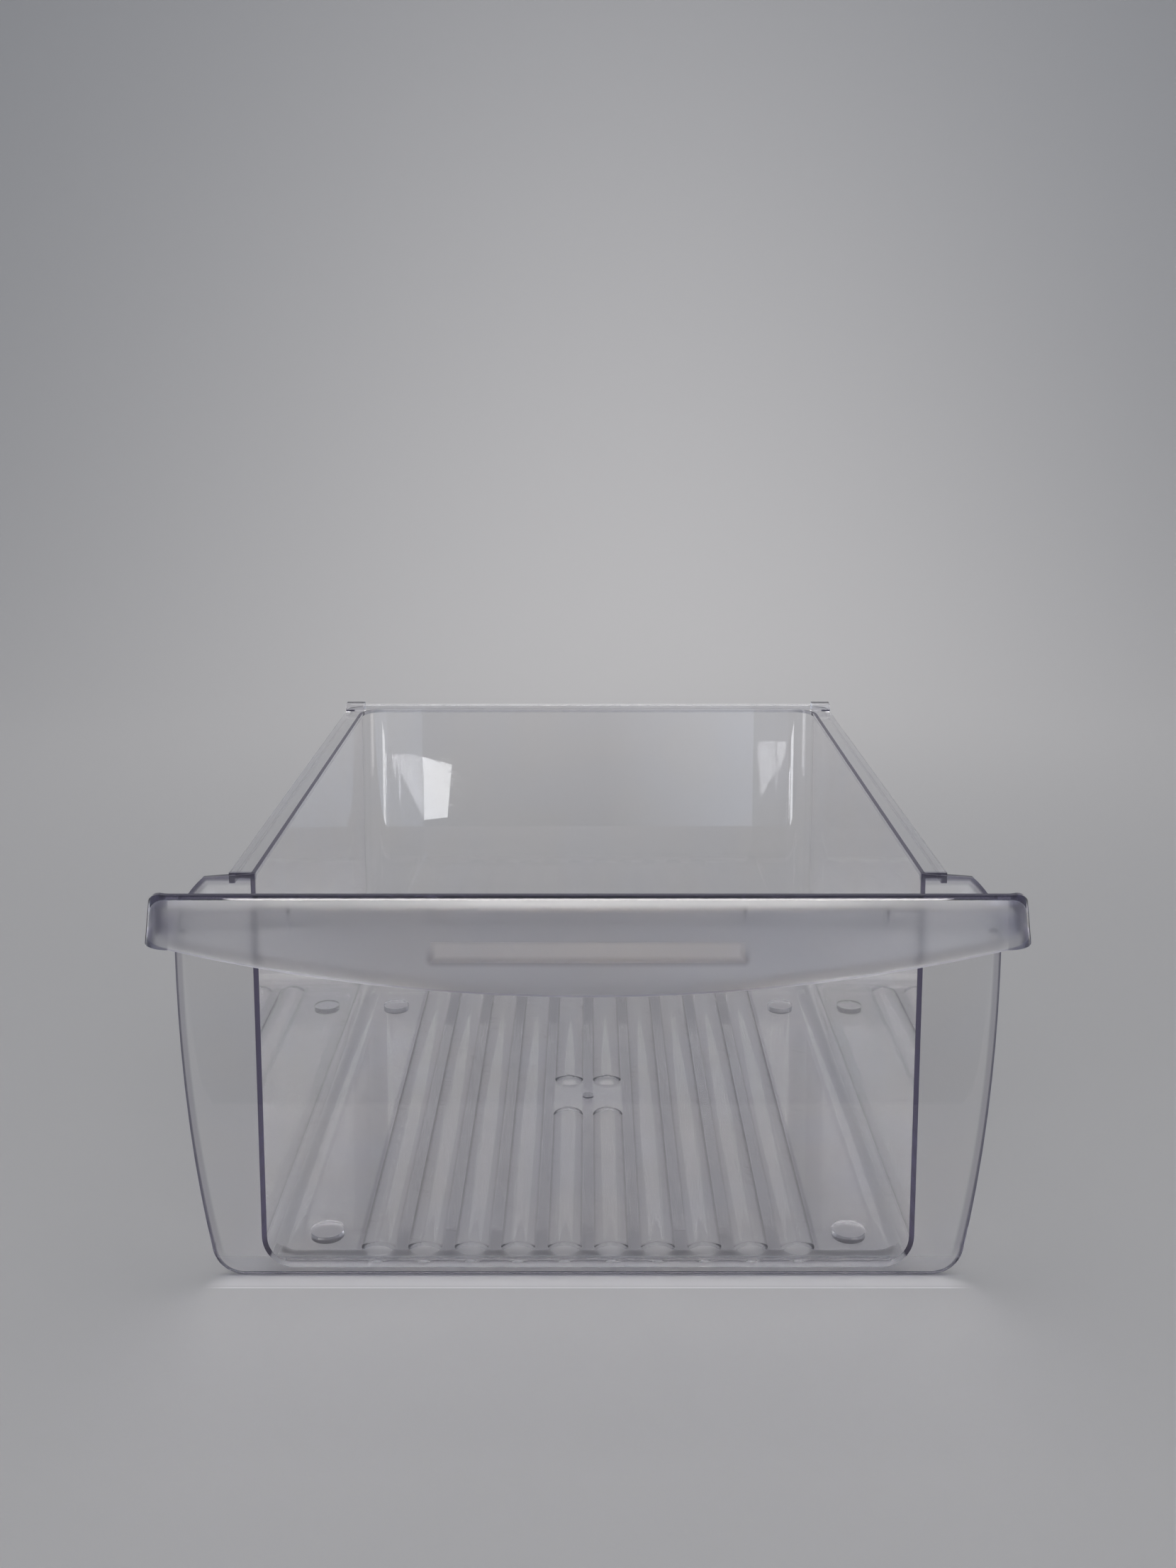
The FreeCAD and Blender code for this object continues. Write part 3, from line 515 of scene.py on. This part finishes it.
# The helpers now add their nodes to the room.
world = bpy.data.worlds.new("room")
scene.world = world
world.use_nodes = True
tree = world.node_tree
room_place = tree.nodes.new("ShaderNodeTexCoord")
room_split = tree.nodes.new("ShaderNodeSeparateXYZ")
tree.links.new(room_place.outputs["Generated"], room_split.inputs["Vector"])
room_sides = tree.nodes.new("ShaderNodeValToRGB")
stops = room_sides.color_ramp.elements
stops[0].position, stops[0].color = ROOM_LEFT
stops[1].position, stops[1].color = ROOM_RIGHT
stops.new(ROOM_MIDDLE[0]).color = ROOM_MIDDLE[1]
put(calc("ADD", room_split.outputs["X"], ROOM_CENTRE), room_sides.inputs["Fac"])
above_low_room = fade(room_split.outputs["Z"], *BELOW_LIMITS)
room_far = mix(above_low_room, ROOM_BELOW, room_sides.outputs["Color"])
room_all = mix(calc("DIVIDE", room_split.outputs["Z"], ABOVE_REACH), room_far, ROOM_ABOVE)
tree.links.new(room_all, tree.nodes["Background"].inputs["Color"])
tree.nodes["Background"].inputs["Strength"].default_value = ROOM_STRENGTH


def glow_card(name, points, colour, strength):
    """Flat card that glows, seen only where one polished surface mirrors it."""
    glow = bpy.data.materials.new(name)
    glow.use_nodes = True
    glow.cycles.emission_sampling = "NONE"
    light = glow.node_tree.nodes.new("ShaderNodeEmission")
    light.inputs["Color"].default_value = (*colour, 1.0)
    light.inputs["Strength"].default_value = strength
    clear = glow.node_tree.nodes.new("ShaderNodeBsdfTransparent")
    only_after_reflection(glow, light, clear, most=1)
    card = stage_mesh(name, points, [list(range(len(points)))], glow)
    card.visible_camera = False
    card.visible_diffuse = False
    card.visible_shadow = False
    return card


for number, (strength, corners) in enumerate(PANES, 1):
    glow_card(f"pane_{number}", [(x, PANE_Y, z) for x, z in corners], PANE_COLOUR, strength)
ceiling_corners = [(-CEILING_HALF, CEILING_FAR), (CEILING_HALF, CEILING_FAR),
                   (CEILING_HALF, CEILING_NEAR), (-CEILING_HALF, CEILING_NEAR)]
glow_card("ceiling_pane", [(x, y, CEILING_HEIGHT) for x, y in ceiling_corners],
          colour=(1.0, 0.98, 0.96), strength=15.0)
lamp_corners = [(LAMP_LEFT, LAMP_LOW), (LAMP_RIGHT, LAMP_LOW),
                (LAMP_RIGHT, LAMP_HIGH), (LAMP_LEFT, LAMP_HIGH)]
glow_card("warm_lamp", [(x, LAMP_Y, z) for x, z in lamp_corners],
          colour=(1.0, 0.78, 0.55), strength=20.0)
side_corners = [(SIDE_HALF, 0.0), (-SIDE_HALF, 0.0), (-SIDE_HALF, SIDE_TALL), (SIDE_HALF, SIDE_TALL)]
glow_card("left_strip", [(-SIDE_X, y, z) for y, z in side_corners],
          colour=(0.96, 0.98, 1.0), strength=2.4)
glow_card("right_strip", [(SIDE_X, y, z) for y, z in side_corners],
          colour=(1.0, 0.98, 0.95), strength=2.0)


def soft_box(name, place, aim, size, watts, colour):
    """Area lamp of a width and height at a place, turned to a point."""
    lamp = bpy.data.lights.new(name, "AREA")
    lamp.shape = "RECTANGLE"
    lamp.size, lamp.size_y = size
    lamp.energy = watts
    lamp.color = colour
    box = bpy.data.objects.new(name, lamp)
    box.location = place
    direction = np.array(aim, float) - np.array(place, float)
    yaw = math.atan2(direction[0], -direction[1])
    tilt = math.atan2(math.hypot(direction[0], direction[1]), -direction[2])
    box.rotation_euler = (-tilt, 0.0, yaw)
    box.visible_camera = False
    scene.collection.objects.link(box)
    return box


soft_box("overhead_box", place=(0.0, 0.1, 1.9), aim=(0.0, 0.1, 0.0), size=(1.8, 1.4),
         watts=11.5, colour=(1.0, 0.965, 0.92))
soft_box("front_box", place=(0.0, -1.7, 1.25), aim=(0.0, -0.19, 0.17), size=(1.3, 0.45),
         watts=6.0, colour=(1.0, 0.99, 0.97))
soft_box("backdrop_box", place=(0.12, 1.0, 1.0), aim=(0.05, 1.9, 0.15), size=(0.6, 0.4),
         watts=6.0, colour=(1.0, 0.975, 0.95))
scene.cycles.max_bounces = BOUNCES
scene.cycles.glossy_bounces = BOUNCES
scene.cycles.transmission_bounces = BOUNCES
scene.cycles.diffuse_bounces = DIFFUSE_BOUNCES
scene.cycles.transparent_max_bounces = CLEAR_BOUNCES
scene.cycles.blur_glossy = 0.0


# Camera: in front of the pan and above it, tipped down by a few degrees.
# Its focal length and the height of its axis were solved for the photograph, in that picture's pixels.
CAMERA_PLACE = (0.0, -0.825, 0.3944)
CAMERA_TILT = math.radians(7.0)
FOCAL_PIXELS = 2239.0
IMAGE_HEIGHT = 2212.0
AXIS_PIXEL = 808.9
SENSOR_HEIGHT = 36.0
CLIP_START = 0.01

camera_data = bpy.data.cameras.new("camera")
camera_data.sensor_fit = "VERTICAL"
camera_data.sensor_height = SENSOR_HEIGHT
camera_data.lens = SENSOR_HEIGHT * FOCAL_PIXELS / IMAGE_HEIGHT
camera_data.shift_y = (AXIS_PIXEL - IMAGE_HEIGHT / 2) / IMAGE_HEIGHT
camera_data.clip_start = CLIP_START
camera = bpy.data.objects.new("camera", camera_data)
camera.location = CAMERA_PLACE
camera.rotation_euler = (math.pi / 2 - CAMERA_TILT, 0.0, 0.0)
scene.collection.objects.link(camera)
scene.camera = camera
